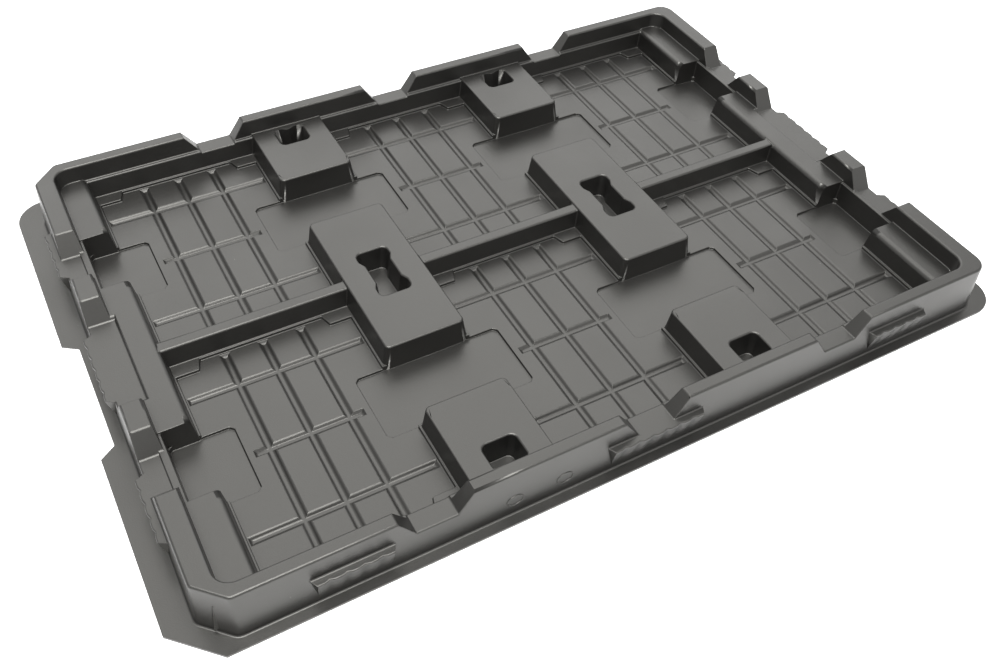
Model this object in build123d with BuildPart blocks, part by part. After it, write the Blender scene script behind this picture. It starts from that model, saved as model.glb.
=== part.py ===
"""Transport tray with six shallow pockets, formed from one sheet of black plastic. Millimetres, +Z up."""

import os
from math import atan2, cos, degrees, hypot, radians, tan

from build123d import *

os.makedirs("parts", exist_ok=True)

# Sheet, and the levels of its upper face: the pocket floor over the flange, the rest over the pocket floor
SHEET = 1.0
FLOOR_OVER_FLANGE = 3.6
RECESS_DROP = 1.0
SEAT_RISE = 1.2
LOW_RISE = 8.7
STRIP_RISE = 9.4
BLOCK_RISE = 10.15
RIM_RISE = 17.2

FLOOR = SHEET + FLOOR_OVER_FLANGE
RECESS = FLOOR - RECESS_DROP
SEAT = FLOOR + SEAT_RISE
LOW = FLOOR + LOW_RISE
STRIP = FLOOR + STRIP_RISE
BLOCK = FLOOR + BLOCK_RISE
RIM = FLOOR + RIM_RISE

# Flange round the base, cut narrower along the middle of each short side
FLANGE_X = 173.2
FLANGE_Y = 117.8
FLANGE_CHAMFER = 15.0
FLANGE_RADIUS = 12.5
WAIST_DEPTH = 5.6
WAIST_Y = 25.6
WAIST_RAMP = 3.9

# Rim: half sizes of its outer face at the top, its corners, drafts and edge rounding
RIM_X = 161.8
RIM_Y = 112.2
RIM_CHAMFER = 10.4
RIM_CHAMFER_ROUNDING = 4.0
RIM_RADIUS = 8.0
RIM_DRAFT = 4.0
RIM_ROUNDING = 1.0

# Hollow inside the raised rim, half sizes at the strip level
UPPER_X = 153.5
UPPER_Y = 106.4
UPPER_RADIUS = 6.0
UPPER_DRAFT = 5.0

# Well that holds the pockets, half sizes at the seat level
WELL_X = 151.8
WELL_Y = 104.2
WELL_RADIUS = 1.6
WELL_DRAFT = 5.0

# Pockets: pitch between centres, half sizes at the seat level, and the seat ledge with its corner shelves
POCKET_PITCH_X = 105.6
POCKET_PITCH_Y = 107.6
POCKET_X = 35.3
POCKET_Y = 50.4
LEDGE = 0.9
SHELF_X = 10.4
SHELF_Y = 6.0
SHELF_RAMP = 1.6
COLUMNS = (-1, 0, 1)
ROWS = (-1, 1)

# Grooves in the pocket floors
GROOVE_PITCH_X = 15.0
GROOVE_PITCH_Y = 32.2
GROOVE_WIDTH = 3.4
GROOVE_DEPTH = 1.1
GROOVE_DRAFT = 42.0
GROOVE_END_X = 33.9
GROOVE_MID_X = 20.7
GROOVE_END_Y = 48.7

# Finger recesses: how far each side of a pocket's centre their edges lie, and their half width
RECESS_X = 23.1
RECESS_Y = 15.1
RECESS_RADIUS = 2.6

# Blocks and bars between the pockets; faces lean in by these amounts from the seat level to their tops
GAP_Y = 14.9
BLOCK_LEAN_X = 1.3
BLOCK_LEAN_Y = 0.5
BLOCK_CORNER = 2.2
BAR_ROUNDING = 2.4
BAR_OUTER_X = 158.5
DIVIDER_LEAN = 1.0

# Blind sockets in the blocks, half sizes at the block tops
SOCKET_X = 6.65
SOCKET_WAIST_X = 5.25
SOCKET_Y = 12.9
SOCKET_LOBE_Y = 8.2
SOCKET_WAIST_Y = 5.2
SOCKET_RADIUS = 2.4
SOCKET_DRAFT = 7.0
END_SOCKET_INNER_Y = 92.9
END_SOCKET_OUTER_Y = 104.3
END_SOCKET_DENT = 1.1
END_SOCKET_DENT_X = 2.8
END_SOCKET_DENT_FLAT = 0.6

# Gaps in the raised rim: half length of the low floor and how far each ramp runs out
RAMP_RUN = 6.0
END_GAP_X = 85.1
END_GAP_HALF = 7.5
LONG_GAP_HALF = 21.3
SHORT_GAP_Y = 54.0
SHORT_GAP_HALF = 7.9
LONG_LOW_X = 152.1
SHORT_LOW_X = 155.2

# Fluted stacking lugs on the outer walls: lobe pitch, and how far they stand out
LOBE_PITCH = 5.8
LOBE_SAG = 0.5
LOBE_FLAT = 0.4
LUG_OUT = 3.1
LUG_DROP = 10.4
LUG_TAPER = 2.6
LUG_BURIED = 0.2
END_LUG_X = 114.3
SIDE_LUG_Y = 65.9
LUG_LOBES = 5
SIDE_MIDDLE_LOBES = 6
END_MIDDLE_LOBES = 7

# Overlap of solids that are joined or cut, and the depth of a flat corner as a share of its radius
OVERLAP = 1.0
FLAT_CORNER = 2 - 2**0.5


def rim_half(half, z, inset):
    """Half size of the rim's outer face at height z, for a skin set in from the upper face."""
    return half + (RIM - z) * tan(radians(RIM_DRAFT)) - inset / cos(radians(RIM_DRAFT))


def hull(inset):
    """Everything under the rim's outer face; the lower skin starts under the flange to leave it open."""
    base = -OVERLAP if inset else 0
    half_x = rim_half(RIM_X, base, inset)
    half_y = rim_half(RIM_Y, base, inset)
    with BuildPart() as body:
        with BuildSketch(Plane.XY.offset(base)):
            Rectangle(2 * half_x, 2 * half_y)
            corners = vertices().group_by(Axis.X)
            chamfer(corners[0], length=RIM_CHAMFER)
            fillet(vertices().group_by(Axis.X)[-1], radius=RIM_RADIUS)
            if not inset:
                blunt = [v for v in vertices() if v.X < -half_x + RIM_CHAMFER + OVERLAP]
                fillet(blunt, radius=RIM_CHAMFER_ROUNDING)
        extrude(amount=RIM - inset - base, taper=RIM_DRAFT)
        if not inset:
            with BuildSketch(Plane.XY):
                Rectangle(2 * FLANGE_X, 2 * FLANGE_Y)
                chamfer(vertices().group_by(Axis.X)[0].group_by(Axis.Y)[0], length=FLANGE_CHAMFER)
                fillet([v for v in vertices() if abs(v.X) + v.Y > FLANGE_X], radius=FLANGE_RADIUS)
                fillet(vertices().group_by(Axis.X)[-1].group_by(Axis.Y)[0], radius=FLANGE_RADIUS)
                for side in (-1, 1):
                    with BuildLine():
                        Polyline(
                            (side * (FLANGE_X + OVERLAP), -WAIST_Y - WAIST_RAMP),
                            (side * FLANGE_X, -WAIST_Y - WAIST_RAMP),
                            (side * (FLANGE_X - WAIST_DEPTH), -WAIST_Y),
                            (side * (FLANGE_X - WAIST_DEPTH), WAIST_Y),
                            (side * FLANGE_X, WAIST_Y + WAIST_RAMP),
                            (side * (FLANGE_X + OVERLAP), WAIST_Y + WAIST_RAMP),
                            close=True,
                        )
                    make_face(mode=Mode.SUBTRACT)
            extrude(amount=SHEET)
    return body.part


def drafted(foot, top, neutral, box, angles, corner=0, rounding=0, flat=False):
    """A box (x0, y0, x1, y1) at the neutral level, with drafted faces, rounded upright edges and top edge at x0.

    Flat corners have one face in place of the rounding, as deep as it at the diagonal.
    """
    x0, y0, x1, y1 = box
    with BuildPart() as body:
        with BuildSketch(Plane.XY.offset(foot)):
            with Locations(((x0 + x1) / 2, (y0 + y1) / 2)):
                Rectangle(x1 - x0, y1 - y0)
        extrude(amount=top - foot)
        for axis, angle in zip((Axis.X, Axis.Y), angles):
            if angle:
                draft(faces().filter_by(axis), Plane.XY.offset(neutral), angle)
        upright = [e for e in edges() if e.bounding_box().size.Z > (top - foot) / 2]
        if corner and flat:
            chamfer(upright, length=corner * FLAT_CORNER)
        elif corner:
            fillet(upright, radius=corner)
        crest = faces().sort_by(Axis.Z)[-1].edges().sort_by(Axis.X)[0]
        if rounding and flat:
            chamfer(crest, length=rounding * FLAT_CORNER)
        elif rounding:
            fillet(crest, radius=rounding)
    return body.part


def raised(top, box, leans, inset, corner, rounding):
    """A block from under the recess floor up to its top; box and leans are its faces at the seat level."""
    inner_box = [edge + side * inset for edge, side in zip(box, (1, 1, -1, -1))]
    angles = [degrees(atan2(lean, top - SEAT)) for lean in leans]
    corner, rounding = max(corner - inset, 0), max(rounding - inset, 0)
    return drafted(RECESS - OVERLAP - inset, top - inset, SEAT, inner_box, angles, corner, rounding, inset > 0)


def all_blocks(inset):
    """Blocks, side bars and divider; each is made once and mirrored across the tray's middle planes."""
    half_block = POCKET_PITCH_X / 2 - POCKET_X
    half_divider = POCKET_PITCH_Y / 2 - POCKET_Y
    x0, x1 = POCKET_PITCH_X / 2 - half_block, POCKET_PITCH_X / 2 + half_block
    inner_bar, outer_bar = POCKET_PITCH_X + POCKET_X, BAR_OUTER_X
    middle_end = POCKET_PITCH_Y / 2 - GAP_Y
    outer_end = POCKET_PITCH_Y / 2 + GAP_Y
    wall = UPPER_Y + 2 * SHEET + BLOCK_LEAN_Y
    leans = (BLOCK_LEAN_X, BLOCK_LEAN_Y)
    block = (BLOCK_CORNER, 0)
    bar = (0, BAR_ROUNDING)
    middle_pieces = [
        raised(BLOCK, (x0, -middle_end, x1, middle_end), leans, inset, *block),
        raised(BLOCK, (inner_bar, -middle_end, outer_bar, middle_end), leans, inset, *bar),
    ]
    end_pieces = [
        raised(BLOCK, (x0, outer_end, x1, wall), leans, inset, *block),
        raised(BLOCK, (inner_bar, outer_end, outer_bar, wall), leans, inset, *bar),
    ]
    divider_box = (-UPPER_X, -half_divider, UPPER_X, half_divider)
    divider = raised(STRIP, divider_box, (0, DIVIDER_LEAN), inset, 0, 0)
    half = middle_pieces + end_pieces + [piece.mirror(Plane.XZ) for piece in end_pieces]
    with BuildPart() as blocks:
        add([divider] + half + [piece.mirror(Plane.YZ) for piece in half])
    return blocks.part


def floor_cut(inset):
    """A pocket's floor inside its ledge and four corner shelves, from the pocket's centre."""
    x = POCKET_X - LEDGE + inset
    y = POCKET_Y - LEDGE + inset
    shelf_x = POCKET_X - SHELF_X
    shelf_y = POCKET_Y - SHELF_Y + inset
    with BuildPart() as cut:
        with BuildSketch(Plane.XY.offset(FLOOR - inset)):
            Rectangle(2 * x, 2 * y)
            for side_x in (-1, 1):
                for side_y in (-1, 1):
                    with BuildLine():
                        Polyline(
                            (side_x * (x + OVERLAP), side_y * shelf_y),
                            (side_x * (shelf_x + SHELF_RAMP / 2 + inset), side_y * shelf_y),
                            (side_x * (shelf_x - SHELF_RAMP / 2 + inset), side_y * y),
                            (side_x * (shelf_x - SHELF_RAMP / 2 + inset), side_y * (y + OVERLAP)),
                            (side_x * (x + OVERLAP), side_y * (y + OVERLAP)),
                            close=True,
                        )
                    make_face(mode=Mode.SUBTRACT)
        extrude(amount=SEAT_RISE + inset + OVERLAP)
    return cut.part


def grooves(inset):
    """The grid of grooves in one pocket floor, from the pocket's centre."""
    half = GROOVE_WIDTH / 2 + inset * tan(radians(45 - GROOVE_DRAFT / 2))
    floor = FLOOR - inset
    past = half - GROOVE_WIDTH / 2
    runs = [(0, side * GROOVE_PITCH_Y, GROOVE_END_X + past, half) for side in (-1, 1)]
    runs.append((0, 0, GROOVE_MID_X + past, half))
    runs.extend((column * GROOVE_PITCH_X, 0, half, GROOVE_END_Y + past) for column in COLUMNS)
    with BuildPart() as cut:
        for x, y, run_x, run_y in runs:
            box = (x - run_x, y - run_y, x + run_x, y + run_y)
            add(drafted(floor - GROOVE_DEPTH, floor + OVERLAP / 2, floor, box, (-GROOVE_DRAFT, -GROOVE_DRAFT)))
    return cut.part


def recesses(inset):
    """The four finger recesses along one row of pockets."""
    half_y = RECESS_Y + inset
    spans = (
        (RECESS_X - POCKET_PITCH_X, -RECESS_X),
        (RECESS_X, POCKET_PITCH_X - RECESS_X),
        (POCKET_PITCH_X + RECESS_X, WELL_X),
        (-WELL_X, -POCKET_PITCH_X - RECESS_X),
    )
    with BuildPart() as cut:
        for x0, x1 in spans:
            box = (x0 - inset, -half_y, x1 + inset, half_y)
            add(drafted(RECESS - inset, SEAT + OVERLAP / 2, SEAT, box, (0, 0), RECESS_RADIUS + inset, flat=True))
    return cut.part


def socket(outline, inset):
    """A drafted blind socket; the outline is its right half at the block's top, from end to end."""
    lengthways = [y for x, y in outline]
    with BuildPart() as cut:
        with BuildSketch(Plane.XY.offset(FLOOR - inset)):
            with BuildLine():
                Polyline(*outline, close=True)
            make_face()
            mirror(about=Plane.YZ)
        extrude(amount=BLOCK - FLOOR + inset + OVERLAP)
        draft(faces().filter_by(Axis.Z, reverse=True), Plane.XY.offset(BLOCK), -SOCKET_DRAFT)
        upright = [e for e in edges() if e.bounding_box().size.Z > OVERLAP and abs(e.center().X) > SOCKET_WAIST_X]
        reach = SOCKET_RADIUS + inset + OVERLAP
        corners = [
            e for e in upright
            if min(abs(e.center().Y - min(lengthways)), abs(e.center().Y - max(lengthways))) < reach
        ]
        if inset:
            chamfer(corners, length=(SOCKET_RADIUS + inset) * FLAT_CORNER)
        else:
            fillet(corners, radius=SOCKET_RADIUS)
    return cut.part


def centre_socket(inset):
    """The waisted socket in a centre block, from the block's centre."""
    lobe, waist, end = (half + inset for half in (SOCKET_X, SOCKET_WAIST_X, SOCKET_Y))
    half_outline = [(0, end), (lobe, end), (lobe, SOCKET_LOBE_Y), (waist, SOCKET_WAIST_Y)]
    return socket(half_outline + [(x, -y) for x, y in reversed(half_outline)], inset)


def end_socket(inset):
    """The short socket beside the rear wall, its outer side dented in the middle, from the block's middle line."""
    half, inner, outer = SOCKET_X + inset, END_SOCKET_INNER_Y - inset, END_SOCKET_OUTER_Y + inset
    dent = outer - END_SOCKET_DENT
    outline = [
        (0, inner), (half, inner), (half, outer), (END_SOCKET_DENT_X, outer),
        (END_SOCKET_DENT_FLAT, dent), (0, dent),
    ]
    return socket(outline, inset)


def ramp_gap(low, half, inset, near, far, top):
    """A gap through the raised rim, its ends ramped, in the plane of its length; it is cut from near to far."""
    slope = RAMP_RUN / (RIM - LOW)
    shift = inset * hypot(1, slope)
    foot = half + slope * (low - inset - LOW) + shift
    head = half + slope * (top - LOW) + shift
    with BuildPart() as cut:
        with BuildSketch(Plane.YZ.offset(near - inset)):
            with BuildLine():
                Polyline((-foot, low - inset), (foot, low - inset), (head, top), (-head, top), close=True)
            make_face()
        extrude(amount=far - near + inset)
    return cut.part


def lug(lobes, inset):
    """A fluted lug on the wall at y = 0, standing out towards +Y at the low level and sloping into the wall below."""
    half = lobes * LOBE_PITCH / 2
    out, valley = LUG_OUT - inset, LUG_OUT - inset - LOBE_SAG
    back = -SHEET - inset
    run_in = LUG_OUT - LUG_DROP * tan(radians(RIM_DRAFT)) + LUG_BURIED
    drop = LUG_DROP - inset
    with BuildPart() as body:
        with BuildSketch(Plane.XY.offset(LOW - inset)):
            with BuildLine():
                Polyline((half, 0), (half, back), (-half, back), (-half, 0))
                if inset:
                    near_end = half - LOBE_PITCH / 2
                    Polyline((-half, 0), (-near_end, valley), (near_end, valley), (half, 0))
                for lobe in range(0 if inset else lobes):
                    x = -half + lobe * LOBE_PITCH
                    flat = LOBE_PITCH * LOBE_FLAT / 2
                    middle = x + LOBE_PITCH / 2
                    start = valley if lobe else 0
                    finish = valley if lobe < lobes - 1 else 0
                    Polyline((x, start), (middle - flat, out), (middle + flat, out), (x + LOBE_PITCH, finish))
            make_face()
        extrude(amount=hypot(drop, run_in), dir=(0, -run_in, -drop))
        with BuildSketch(Plane.XZ.offset(-out)):
            with BuildLine():
                top, low = half - inset, half - inset - LUG_TAPER
                Polyline((-top, LOW), (top, LOW), (low, LOW - LUG_DROP), (-low, LOW - LUG_DROP), close=True)
            make_face()
        extrude(amount=2 * (LUG_OUT + run_in), mode=Mode.INTERSECT)
    return body.part


def all_gaps(inset):
    """Every gap in the raised rim, with the strip left beside each short gap."""
    reach = FLANGE_X - UPPER_X
    above = RIM + OVERLAP
    end_gap = ramp_gap(LOW, END_GAP_HALF, inset, WELL_Y - SHEET, WELL_Y + reach, above)
    long_gap = ramp_gap(LOW, LONG_GAP_HALF, inset, LONG_LOW_X, LONG_LOW_X + reach, above)
    short_gap = ramp_gap(LOW, SHORT_GAP_HALF, inset, SHORT_LOW_X, SHORT_LOW_X + reach, above)
    strip_gap = ramp_gap(STRIP, SHORT_GAP_HALF, inset, WELL_X, WELL_X + reach, above)
    with BuildPart() as gaps:
        with Locations(*(Location((0, 0, 0), (0, 0, turn)) for turn in (0, 180))):
            add(long_gap)
            with Locations((0, -SHORT_GAP_Y), (0, SHORT_GAP_Y)):
                add([short_gap, strip_gap])
            with Locations(*(Location((column * END_GAP_X, 0, 0), (0, 0, 90)) for column in COLUMNS)):
                add(end_gap)
    return gaps.part


def all_lugs(inset):
    """The nine fluted lugs in place on the outer walls; the rear wall has none in its middle."""
    corner_lug, side_lug, end_lug = (lug(n, inset) for n in (LUG_LOBES, SIDE_MIDDLE_LOBES, END_MIDDLE_LOBES))
    wall_x, wall_y = rim_half(RIM_X, LOW, 0), rim_half(RIM_Y, LOW, 0)
    with BuildPart() as lugs:
        with Locations(Location((0, -wall_y, 0), (0, 0, 180))):
            add(end_lug)
        with Locations(*(Location((0, 0, 0), (0, 0, turn)) for turn in (0, 180))):
            with Locations((-END_LUG_X, wall_y), (END_LUG_X, wall_y)):
                add(corner_lug)
        with Locations(*(Location((0, 0, 0), (0, 0, turn)) for turn in (90, 270))):
            with Locations((0, wall_x)):
                add(side_lug)
            with Locations((-SIDE_LUG_Y, wall_x), (SIDE_LUG_Y, wall_x)):
                add(corner_lug)
    return lugs.part


def all_sockets(inset):
    """The six sockets, two along the middle and one at each end of both columns of blocks."""
    middle, end = centre_socket(inset), end_socket(inset)
    with BuildPart() as sockets:
        with Locations((-POCKET_PITCH_X / 2, 0), (POCKET_PITCH_X / 2, 0)):
            add([middle, end, end.mirror(Plane.XZ)])
    return sockets.part


def form(inset):
    """The solid under the upper face for inset 0, or under the lower face for inset SHEET."""
    hull_body, blocks, gaps, lugs, sockets = (
        make(inset) for make in (hull, all_blocks, all_gaps, all_lugs, all_sockets)
    )
    floor_part, groove_part, recess_part = floor_cut(inset), grooves(inset), recesses(inset)
    pockets = [(column * POCKET_PITCH_X, row * POCKET_PITCH_Y / 2) for column in COLUMNS for row in ROWS]
    upper_x, upper_y = UPPER_X + inset, UPPER_Y + inset
    well_x, well_y = WELL_X + inset, WELL_Y + inset
    upper_box, well_box = (-upper_x, -upper_y, upper_x, upper_y), (-well_x, -well_y, well_x, well_y)
    upper_draft, well_draft = (-UPPER_DRAFT, -UPPER_DRAFT), (-WELL_DRAFT, -WELL_DRAFT)
    with BuildPart() as body:
        add(hull_body)
        hollow = drafted(STRIP - inset, RIM + OVERLAP, STRIP, upper_box, upper_draft, UPPER_RADIUS + inset, flat=inset > 0)
        add(hollow, mode=Mode.SUBTRACT)
        if not inset:
            fillet(edges().group_by(Axis.Z)[-1], radius=RIM_ROUNDING)
        well = drafted(SEAT - inset, STRIP + OVERLAP, SEAT, well_box, well_draft, WELL_RADIUS + inset, flat=inset > 0)
        add(well, mode=Mode.SUBTRACT)
        with Locations(*pockets):
            add([floor_part, groove_part], mode=Mode.SUBTRACT)
        with Locations((0, -POCKET_PITCH_Y / 2), (0, POCKET_PITCH_Y / 2)):
            add(recess_part, mode=Mode.SUBTRACT)
        add(blocks)
        add([sockets, gaps], mode=Mode.SUBTRACT)
        add(lugs)
    return body.part


upper = form(0)
lower = form(SHEET)
with BuildPart() as tray:
    add(upper)
    add(lower, mode=Mode.SUBTRACT)

tray.part.label = "tray"
export_step(tray.part, "parts/tray.step")
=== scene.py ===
"""Looks of the formed plastic tray: satin black plastic on a white table, seen from the photo's angle."""

import math

import bmesh
import bpy
from mathutils import Matrix, Vector
from mathutils.bvhtree import BVHTree
from mathutils.kdtree import KDTree


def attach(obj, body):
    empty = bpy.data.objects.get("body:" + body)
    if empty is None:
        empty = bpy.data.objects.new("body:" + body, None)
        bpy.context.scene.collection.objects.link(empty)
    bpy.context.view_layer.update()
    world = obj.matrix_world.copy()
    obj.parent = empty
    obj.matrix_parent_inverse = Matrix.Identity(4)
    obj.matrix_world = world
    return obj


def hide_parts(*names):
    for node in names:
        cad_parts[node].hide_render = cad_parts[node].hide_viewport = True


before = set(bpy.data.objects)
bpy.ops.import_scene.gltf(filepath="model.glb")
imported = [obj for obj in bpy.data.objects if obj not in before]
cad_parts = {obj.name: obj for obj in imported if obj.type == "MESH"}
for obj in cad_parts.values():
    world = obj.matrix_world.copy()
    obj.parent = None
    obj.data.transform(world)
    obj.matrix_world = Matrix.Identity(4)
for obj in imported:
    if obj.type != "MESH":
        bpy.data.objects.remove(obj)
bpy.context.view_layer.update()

MM = 0.001

# Camera, solved from the grid of grooves and pockets
CAMERA_AT = (-0.16182, -0.26739, 0.29077)
CAMERA_RIGHT = (0.87393724, -0.48414168, 0.04290139)
CAMERA_UP = (0.33094516, 0.65738839, 0.67699026)
CAMERA_LENS = 36.17
SENSOR = 36.0

# Light: soft boxes behind, in front of and above the tray, and the level of an even surround
SURROUND = 0.14
BACK_LIGHT = {"at": (0.45, 1.15, 1.35), "size": (2.4, 1.5), "power": 20.0}
FRONT_LIGHT = {"at": (0.50, -1.10, 0.72), "size": (1.4, 0.7), "power": 1.5}
TOP_LIGHT = {"at": (-0.3, -0.4, 1.5), "size": (1.2, 1.2), "power": 40.0}

# Table: its white, how much brighter it looks where it is seen, and its reach in metres
TABLE_WHITE = (0.92, 0.92, 0.92)
TABLE_GLOW = 0.55
TABLE_REACH = 6.0

# Plastic: its black, the lighter black of its clouds, and the shine
PLASTIC = (0.0060, 0.0058, 0.0055)
CLOUD_LIGHTER = 1.5
CLOUD_SCALE = 28.0
CLOUD_DETAIL = 4.0
CLOUD_RANGE = (0.35, 0.65)
SHINE = 0.9
SHINE_TINT = (1.0, 0.985, 0.93)
ROUGHNESS = (0.34, 0.41)

# Fine grain of the plastic, its height in metres
GRAIN_SCALE = 2200.0
GRAIN_DETAIL = 3.0
GRAIN_HEIGHT = 0.00006
GRAIN_STRENGTH = 0.6

# Dust: specks of one size, in the few cells whose random value is over a share
DUST = (0.30, 0.29, 0.27)
DUST_SCALE = 170.0
DUST_SIZE = 0.022
DUST_SHARE = 0.93

# Levels of the tray's upper face, in millimetres
FLANGE = 1.0
GROOVE = 3.5
RECESS = 3.6
FLOOR = 4.6
SEAT = 5.8
LOW = 13.3
STRIP = 14.0
BLOCK = 14.75
LUG = 15.0
RIM = 21.8

# How far each fold is softened on either side, in millimetres: at its foot and at its crest, by level
FOLDS = (
    (FLANGE, 0.7, 0.3),
    (GROOVE, 0.66, 0.3),
    (RECESS, 0.3, 0.3),
    (FLOOR, 0.3, 0.3),
    (SEAT, 0.35, 0.35),
    (LOW, 0.6, 0.7),
    (STRIP, 0.6, 0.9),
    (BLOCK, 0.4, 0.8),
    (LUG, 0.3, 0.3),
    (RIM, 0.6, 0.7),
)

# How near to a level a height counts as on it, in millimetres
LEVEL_REACH = 0.06

# How far other folds are softened, in millimetres: a groove's gentle crest, then those that run up or down
GROOVE_CREST = 0.58
GROOVE_CORNER = 0.6
UPRIGHT_FOLD = 0.5
RAMP_FOLD = 0.6
INNER_CORNER = 0.5
SHORT = 3.0
SHORT_FOLD = 0.3

# The least angle of a fold and the most of a gentle one, in degrees
FOLD_ANGLE = 34.0
SOFT_ANGLE = 55.0

# The bevel, in millimetres: the offset of a fold of weight 1, and the share of a face that a fold may take
FOLD_WIDTH = 2.0
FOLD_SEGMENTS = 3
WIDTH_SHARE = 0.45

# How the width of a face is measured: shares along an edge, angle of the folds met, most in millimetres
ROOM_SHARES = (0.06, 0.28, 0.5, 0.72, 0.94)
ROOM_ANGLE = 20.0
ROOM_MOST = 100.0

# Merging: the distance at which points are welded, in metres, and the angle of flat faces, in degrees
WELD = 1e-6
FLAT_ANGLE = 0.3

# A face is upright when its normal rises by less than this
UPRIGHT = 0.5

# Easing: the overlap that counts, in square metres, then in millimetres the longest fold eased in each
# round and the longest one left sharp
OVERLAP_LEAST = 1.5e-6
EASED_UPTO = (1.5, 1.5, 4.0, 4.0, 4.0)
TINY = 0.5

# The face that a crossed one comes from: one of the nearest, with its normal in the same direction
NEAREST = 10
SAME_WAY = 0.99

# How far off the surface a point may be, in millimetres
STRAY = 0.4

# Plain oval rings on the front wall, in millimetres: their middles, half sizes and bead
RINGS = ((-56.6, 7.7), (-37.2, 7.9))
RING_X = 3.1
RING_Z = 2.3
RING_BEAD = 0.3
RING_STEPS = 48
RING_SIDES = 8

# The front wall: how far forward its top stands, in millimetres, and its draft, in degrees
WALL_FRONT = 112.2
WALL_DRAFT = 4.0

# Where wide faces are parted before the folds are rounded, clear of every corner, in millimetres: the last
# planes part only what reaches over a height
PARTED_X = (6.0, 24.0, 52.8, 81.6, 97.4, 113.8, 129.6)
PARTED_Y = (34.3, 73.3)
PARTED_TOP_Y = (4.2, 103.0)
TOP_REACH = 8.0


def new_material(name):
    """A material with an empty node tree, and its tree."""
    material = bpy.data.materials.new(name)
    material.use_nodes = True
    material.node_tree.nodes.clear()
    return material, material.node_tree


def plastic():
    """Satin black plastic with a fine grain, slow changes of gloss and a little dust."""
    material, tree = new_material("black_plastic")
    nodes, links = tree.nodes, tree.links
    out = nodes.new("ShaderNodeOutputMaterial")
    shader = nodes.new("ShaderNodeBsdfPrincipled")
    place = nodes.new("ShaderNodeTexCoord")
    grain = nodes.new("ShaderNodeTexNoise")
    grain.inputs["Scale"].default_value = GRAIN_SCALE
    grain.inputs["Detail"].default_value = GRAIN_DETAIL
    bump = nodes.new("ShaderNodeBump")
    bump.inputs["Distance"].default_value = GRAIN_HEIGHT
    bump.inputs["Strength"].default_value = GRAIN_STRENGTH
    shader.inputs["Specular IOR Level"].default_value = SHINE
    shader.inputs["Specular Tint"].default_value = (*SHINE_TINT, 1)
    cloud = nodes.new("ShaderNodeTexNoise")
    cloud.inputs["Scale"].default_value = CLOUD_SCALE
    cloud.inputs["Detail"].default_value = CLOUD_DETAIL
    gloss = nodes.new("ShaderNodeMapRange")
    gloss.inputs["From Min"].default_value, gloss.inputs["From Max"].default_value = CLOUD_RANGE
    gloss.inputs["To Min"].default_value, gloss.inputs["To Max"].default_value = ROUGHNESS
    colour = nodes.new("ShaderNodeMix")
    colour.data_type = "RGBA"
    colour.inputs["A"].default_value = (*PLASTIC, 1)
    colour.inputs["B"].default_value = (*(CLOUD_LIGHTER * value for value in PLASTIC), 1)
    specks = nodes.new("ShaderNodeTexVoronoi")
    specks.inputs["Scale"].default_value = DUST_SCALE
    small = nodes.new("ShaderNodeMath")
    small.operation = "LESS_THAN"
    small.inputs[1].default_value = DUST_SIZE
    apart = nodes.new("ShaderNodeSeparateColor")
    rare = nodes.new("ShaderNodeMath")
    rare.operation = "GREATER_THAN"
    rare.inputs[1].default_value = DUST_SHARE
    both = nodes.new("ShaderNodeMath")
    both.operation = "MULTIPLY"
    dusty = nodes.new("ShaderNodeMix")
    dusty.data_type = "RGBA"
    dusty.inputs["B"].default_value = (*DUST, 1)
    links.new(place.outputs["Object"], specks.inputs["Vector"])
    links.new(specks.outputs["Distance"], small.inputs[0])
    links.new(specks.outputs["Color"], apart.inputs["Color"])
    links.new(apart.outputs["Red"], rare.inputs[0])
    links.new(small.outputs["Value"], both.inputs[0])
    links.new(rare.outputs["Value"], both.inputs[1])
    links.new(both.outputs["Value"], dusty.inputs["Factor"])
    links.new(colour.outputs["Result"], dusty.inputs["A"])
    links.new(place.outputs["Object"], grain.inputs["Vector"])
    links.new(place.outputs["Object"], cloud.inputs["Vector"])
    links.new(grain.outputs["Fac"], bump.inputs["Height"])
    links.new(cloud.outputs["Fac"], gloss.inputs["Value"])
    links.new(cloud.outputs["Fac"], colour.inputs["Factor"])
    links.new(gloss.outputs["Result"], shader.inputs["Roughness"])
    links.new(dusty.outputs["Result"], shader.inputs["Base Color"])
    links.new(bump.outputs["Normal"], shader.inputs["Normal"])
    links.new(shader.outputs["BSDF"], out.inputs["Surface"])
    return material


def seen(tree):
    """A node output that is 1 for rays from the camera and for reflected and transmitted ones, else 0."""
    path = tree.nodes.new("ShaderNodeLightPath")
    output = path.outputs["Is Camera Ray"]
    for name in ("Is Glossy Ray", "Is Transmission Ray"):
        either = tree.nodes.new("ShaderNodeMath")
        either.operation = "MAXIMUM"
        tree.links.new(output, either.inputs[0])
        tree.links.new(path.outputs[name], either.inputs[1])
        output = either.outputs["Value"]
    return output


def table_top():
    """A plain white table: it keeps the tray's shadow, and is brighter where it is seen."""
    material, tree = new_material("white_table")
    nodes, links = tree.nodes, tree.links
    out = nodes.new("ShaderNodeOutputMaterial")
    matt = nodes.new("ShaderNodeBsdfDiffuse")
    matt.inputs["Color"].default_value = (*TABLE_WHITE, 1)
    glow = nodes.new("ShaderNodeEmission")
    level = nodes.new("ShaderNodeMath")
    level.operation = "MULTIPLY"
    level.inputs[1].default_value = TABLE_GLOW
    total = nodes.new("ShaderNodeAddShader")
    links.new(seen(tree), level.inputs[0])
    links.new(level.outputs["Value"], glow.inputs["Strength"])
    links.new(matt.outputs["BSDF"], total.inputs[0])
    links.new(glow.outputs["Emission"], total.inputs[1])
    links.new(total.outputs["Shader"], out.inputs["Surface"])
    return material


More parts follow.
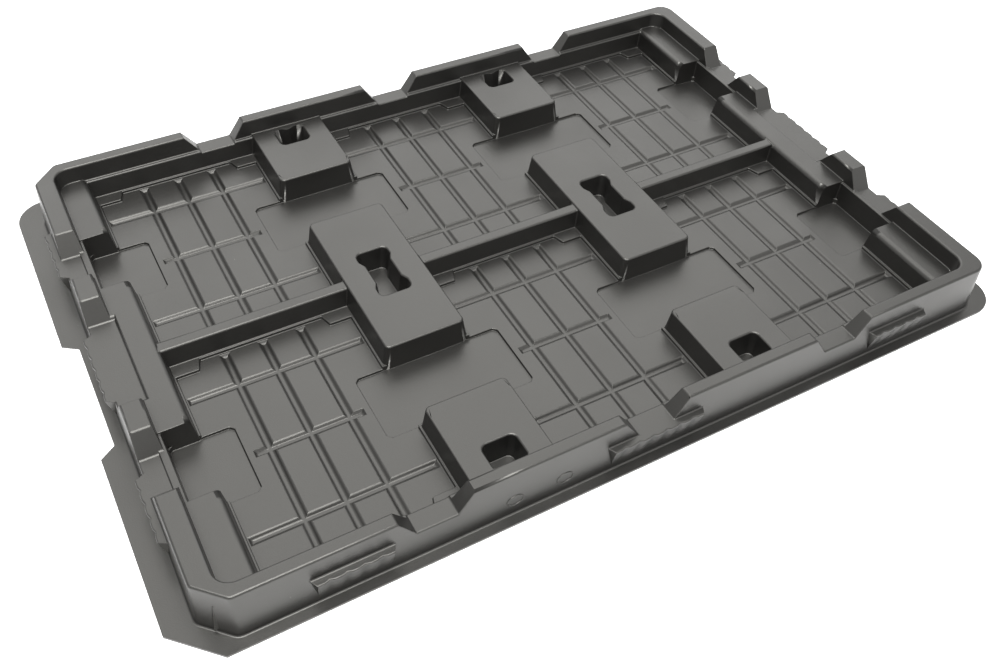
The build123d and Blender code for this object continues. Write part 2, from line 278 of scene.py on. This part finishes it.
def add_floor():
    """The table top, well past the camera's view."""
    mesh = bpy.data.meshes.new("table_top")
    ways = ((-1, -1), (1, -1), (1, 1), (-1, 1))
    corners = [(TABLE_REACH * x, TABLE_REACH * y, 0.0) for x, y in ways]
    mesh.from_pydata(corners, [], [(0, 1, 2, 3)])
    floor = bpy.data.objects.new("table_top", mesh)
    floor.data.materials.append(table_top())
    bpy.context.collection.objects.link(floor)


def add_light(name, at, size, power):
    """A rectangular soft box that faces the tray."""
    data = bpy.data.lights.new(name, "AREA")
    data.shape = "RECTANGLE"
    data.size, data.size_y = size
    data.energy = power
    light = bpy.data.objects.new(name, data)
    light.location = at
    light.rotation_euler = (-Vector(at)).to_track_quat("-Z", "Y").to_euler()
    bpy.context.collection.objects.link(light)


def add_surround():
    """An even, dim surround that is pure white where it is seen."""
    world = bpy.data.worlds.new("surround")
    bpy.context.scene.world = world
    world.use_nodes = True
    nodes, links = world.node_tree.nodes, world.node_tree.links
    nodes.clear()
    out = nodes.new("ShaderNodeOutputWorld")
    even = nodes.new("ShaderNodeBackground")
    even.inputs["Strength"].default_value = SURROUND
    white = nodes.new("ShaderNodeBackground")
    mix = nodes.new("ShaderNodeMixShader")
    links.new(seen(world.node_tree), mix.inputs["Fac"])
    links.new(even.outputs["Background"], mix.inputs[1])
    links.new(white.outputs["Background"], mix.inputs[2])
    links.new(mix.outputs["Shader"], out.inputs["Surface"])


def add_camera():
    """The camera at the photo's angle."""
    data = bpy.data.cameras.new("camera")
    data.sensor_width = SENSOR
    data.lens = CAMERA_LENS
    camera = bpy.data.objects.new("camera", data)
    right, up = Vector(CAMERA_RIGHT), Vector(CAMERA_UP)
    axes = Matrix((right, up, right.cross(up))).transposed().to_4x4()
    camera.matrix_world = Matrix.Translation(CAMERA_AT) @ axes
    bpy.context.collection.objects.link(camera)
    bpy.context.scene.camera = camera


def near(value, level):
    """Whether a height in millimetres lies at a level."""
    return abs(value - level) < LEVEL_REACH


def upper_skin(mesh):
    """The faces of the upper skin: those reached from the highest one without crossing the cut edge."""
    start = max(mesh.faces, key=lambda face: min(vert.co.z for vert in face.verts))
    found, waiting = {start}, [start]
    while waiting:
        for edge in waiting.pop().edges:
            for face in edge.link_faces:
                upright = abs(face.normal.z) < UPRIGHT
                cut_edge = upright and max(vert.co.z for vert in face.verts) < (FLANGE + LEVEL_REACH) * MM
                if face not in found and not cut_edge:
                    found.add(face)
                    waiting.append(face)
    return found


def room(face, edge):
    """How far it is across a face, in millimetres, from one of its edges to the nearest fold."""
    loop = next(loop for loop in edge.link_loops if loop.face == face)
    first, last = loop.vert.co, loop.link_loop_next.vert.co
    along = (last - first).normalized()
    inward = face.normal.cross(along)
    width = ROOM_MOST * MM
    for share in ROOM_SHARES:
        start = first.lerp(last, share)
        for other in face.edges:
            if other == edge or not other.is_manifold or other.calc_face_angle() < math.radians(ROOM_ANGLE):
                continue
            ends = [vert.co - start for vert in other.verts]
            aside = [end.dot(along) for end in ends]
            ahead = [end.dot(inward) for end in ends]
            if aside[0] * aside[1] <= 0 and abs(aside[0] - aside[1]) > WELD:
                part = aside[0] / (aside[0] - aside[1])
                reach = ahead[0] + part * (ahead[1] - ahead[0])
                if reach > WELD:
                    width = min(width, reach)
    return width / MM


def softness(edge):
    """How far a fold is softened on either side, in millimetres."""
    heights = [vert.co.z / MM for vert in edge.verts]
    middle = sum(heights) / 2
    angle = math.degrees(edge.calc_face_angle())
    if angle < FOLD_ANGLE:
        return 0.0
    if abs(heights[0] - heights[1]) < LEVEL_REACH:
        if near(middle, FLOOR) and edge.is_convex and angle < SOFT_ANGLE:
            return GROOVE_CREST
        for level, foot, crest in FOLDS:
            if near(middle, level):
                return crest if edge.is_convex else foot
        return 0.0
    if max(heights) < FLOOR + LEVEL_REACH:
        return GROOVE_CORNER
    if max(heights) < SEAT + LEVEL_REACH:
        return UPRIGHT_FOLD
    if edge.calc_length() < SHORT * MM:
        return SHORT_FOLD
    return RAMP_FOLD if min(heights) > LOW - LEVEL_REACH else INNER_CORNER


def part_faces(mesh, axis, place, reach):
    """Cuts the faces that reach some height along a plane, and keeps the cut when flat faces are merged."""
    faces = [face for face in mesh.faces if max(vert.co.z for vert in face.verts) > reach]
    edges = {edge for face in faces for edge in face.edges}
    verts = {vert for face in faces for vert in face.verts}
    cut = bmesh.ops.bisect_plane(
        mesh, geom=[*verts, *edges, *faces], dist=WELD, plane_co=axis * place, plane_no=axis
    )
    for item in cut["geom_cut"]:
        if isinstance(item, bmesh.types.BMEdge):
            item.seam = True


def overlapping(mesh):
    """The faces whose triangles cover more than the face itself, because its corners passed each other."""
    mesh.calc_loop_triangles()
    covered = [0.0] * len(mesh.polygons)
    for triangle in mesh.loop_triangles:
        covered[triangle.polygon_index] += triangle.area
    return [face for face in mesh.polygons if covered[face.index] > face.area + OVERLAP_LEAST]


def ease(mesh, weight, crossed, centres, longest):
    """Eases the folds up to some length round the crossed faces: half as soft, the tiny ones sharp."""
    eased = set()
    for face in crossed:
        for _, index, _ in centres.find_n(face.center, NEAREST):
            source = mesh.faces[index]
            if source.normal.dot(face.normal) > SAME_WAY:
                eased.add(source)
                break
    edges = {edge for face in eased for edge in face.edges}
    for edge in edges:
        length = edge.calc_length() / MM
        if length < longest:
            edge[weight] = edge[weight] / 2 if length > TINY else 0.0


def finished(item):
    """The mesh of an object with its modifiers applied."""
    depsgraph = bpy.context.evaluated_depsgraph_get()
    return bpy.data.meshes.new_from_object(item.evaluated_get(depsgraph))


def rounded(rough, mesh):
    """The mesh with its folds rounded by the rough tray's bevel."""
    mesh.to_mesh(rough.data)
    rough.data.update()
    return finished(rough)


def settle(mesh, surface):
    """Puts the few points that the rounding threw off back on the surface."""
    for vert in mesh.vertices:
        place, _, _, distance = surface.find_nearest(vert.co)
        if distance > STRAY * MM or vert.co.z > RIM * MM:
            vert.co = place


def flat_faced(node):
    """A welded copy of a node's mesh, with its flat faces merged as far as the parting planes."""
    mesh = bmesh.new()
    mesh.from_mesh(node.data)
    bmesh.ops.remove_doubles(mesh, verts=mesh.verts[:], dist=WELD)
    along_x, along_y = Vector((1, 0, 0)), Vector((0, 1, 0))
    plans = (
        (along_x, PARTED_X, 0.0),
        (along_y, PARTED_Y, 0.0),
        (along_y, PARTED_TOP_Y, TOP_REACH),
    )
    for axis, places, reach in plans:
        for place in (*places, *(-value for value in places)):
            part_faces(mesh, axis, place * MM, reach * MM)
    bmesh.ops.dissolve_limit(
        mesh,
        angle_limit=math.radians(FLAT_ANGLE),
        verts=mesh.verts[:],
        edges=mesh.edges[:],
        delimit={"SEAM"},
    )
    mesh.normal_update()
    return mesh


def weigh_folds(mesh):
    """Weighs the upper skin's folds by their softness, keeps the others sharp and gives the weights."""
    top = upper_skin(mesh)
    weight = mesh.edges.layers.float.new("bevel_weight_edge")
    for edge in mesh.edges:
        if not edge.is_manifold:
            continue
        if all(face in top for face in edge.link_faces):
            offset = softness(edge)
            if offset:
                widest = WIDTH_SHARE * min(room(face, edge) for face in edge.link_faces)
                edge[weight] = min(offset, widest) / FOLD_WIDTH
        elif edge.calc_face_angle() > math.radians(FOLD_ANGLE):
            edge.smooth = False
    for face in mesh.faces:
        face.smooth = True
    return weight


def face_centres(mesh):
    """The middles of the faces, ready to be searched."""
    mesh.faces.ensure_lookup_table()
    centres = KDTree(len(mesh.faces))
    for face in mesh.faces:
        centres.insert(face.calc_center_median(), face.index)
    centres.balance()
    return centres


def soft_tray(node):
    """A copy of the tray's mesh with the folds of its upper skin rounded, as forming leaves them."""
    mesh = flat_faced(node)
    weight = weigh_folds(mesh)
    centres = face_centres(mesh)
    data = bpy.data.meshes.new("rough_tray")
    rough = bpy.data.objects.new("rough_tray", data)
    bpy.context.collection.objects.link(rough)
    fold = rough.modifiers.new("folds", "BEVEL")
    fold.limit_method = "WEIGHT"
    fold.width = FOLD_WIDTH * MM
    fold.segments = FOLD_SEGMENTS
    fold.use_clamp_overlap = False
    for longest in EASED_UPTO:
        crossed = overlapping(rounded(rough, mesh))
        ease(mesh, weight, crossed, centres, longest)
    folded = rounded(rough, mesh)
    surface = BVHTree.FromPolygons(
        [vert.co for vert in data.vertices], [face.vertices[:] for face in data.polygons]
    )
    mesh.free()
    settle(folded, surface)
    rough.modifiers.clear()
    rough.data = folded
    normals = rough.modifiers.new("normals", "WEIGHTED_NORMAL")
    normals.keep_sharp = True
    piece = bpy.data.objects.new("soft_tray", finished(rough))
    bpy.data.objects.remove(rough)
    bpy.context.collection.objects.link(piece)
    return piece


def oval_ring(name, middle, height):
    """A plain raised oval on the front wall, its middle at a height over the table, in millimetres."""
    slope = math.radians(WALL_DRAFT)
    wall = -(WALL_FRONT + (RIM - height) * math.tan(slope)) * MM
    upward = Vector((0, math.sin(slope), math.cos(slope)))
    outward = Vector((0, -math.cos(slope), math.sin(slope)))
    centre = Vector((middle * MM, wall, height * MM))
    mesh = bmesh.new()
    loops = []
    for step in range(RING_STEPS):
        turn = math.tau * step / RING_STEPS
        across = Vector((math.cos(turn), 0, 0)) + upward * math.sin(turn)
        sideways = Vector((math.cos(turn) * RING_X * MM, 0, 0))
        spot = centre + sideways + upward * (math.sin(turn) * RING_Z * MM)
        loop = []
        for side in range(RING_SIDES):
            roll = math.tau * side / RING_SIDES
            offset = across * math.cos(roll) + outward * math.sin(roll)
            loop.append(mesh.verts.new(spot + offset * RING_BEAD * MM))
        loops.append(loop)
    for step, loop in enumerate(loops):
        other = loops[(step + 1) % RING_STEPS]
        for side in range(RING_SIDES):
            beyond = (side + 1) % RING_SIDES
            face = mesh.faces.new((loop[side], other[side], other[beyond], loop[beyond]))
            face.smooth = True
    bmesh.ops.recalc_face_normals(mesh, faces=mesh.faces[:])
    data = bpy.data.meshes.new(name)
    mesh.to_mesh(data)
    mesh.free()
    ring = bpy.data.objects.new(name, data)
    bpy.context.collection.objects.link(ring)
    return ring


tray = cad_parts["tray"]
black_plastic = plastic()
tray.data.materials.clear()
tray.data.materials.append(black_plastic)
piece = soft_tray(tray)
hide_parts("tray")
rings = [oval_ring(f"oval_ring_{number}", *place) for number, place in enumerate(RINGS, 1)]
for item in (piece, *rings):
    item.data.materials.append(black_plastic)
    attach(item, "root")

add_floor()
add_light("back_light", **BACK_LIGHT)
add_light("front_light", **FRONT_LIGHT)
add_light("top_light", **TOP_LIGHT)
add_surround()
add_camera()
bpy.context.scene.view_settings.view_transform = "Standard"
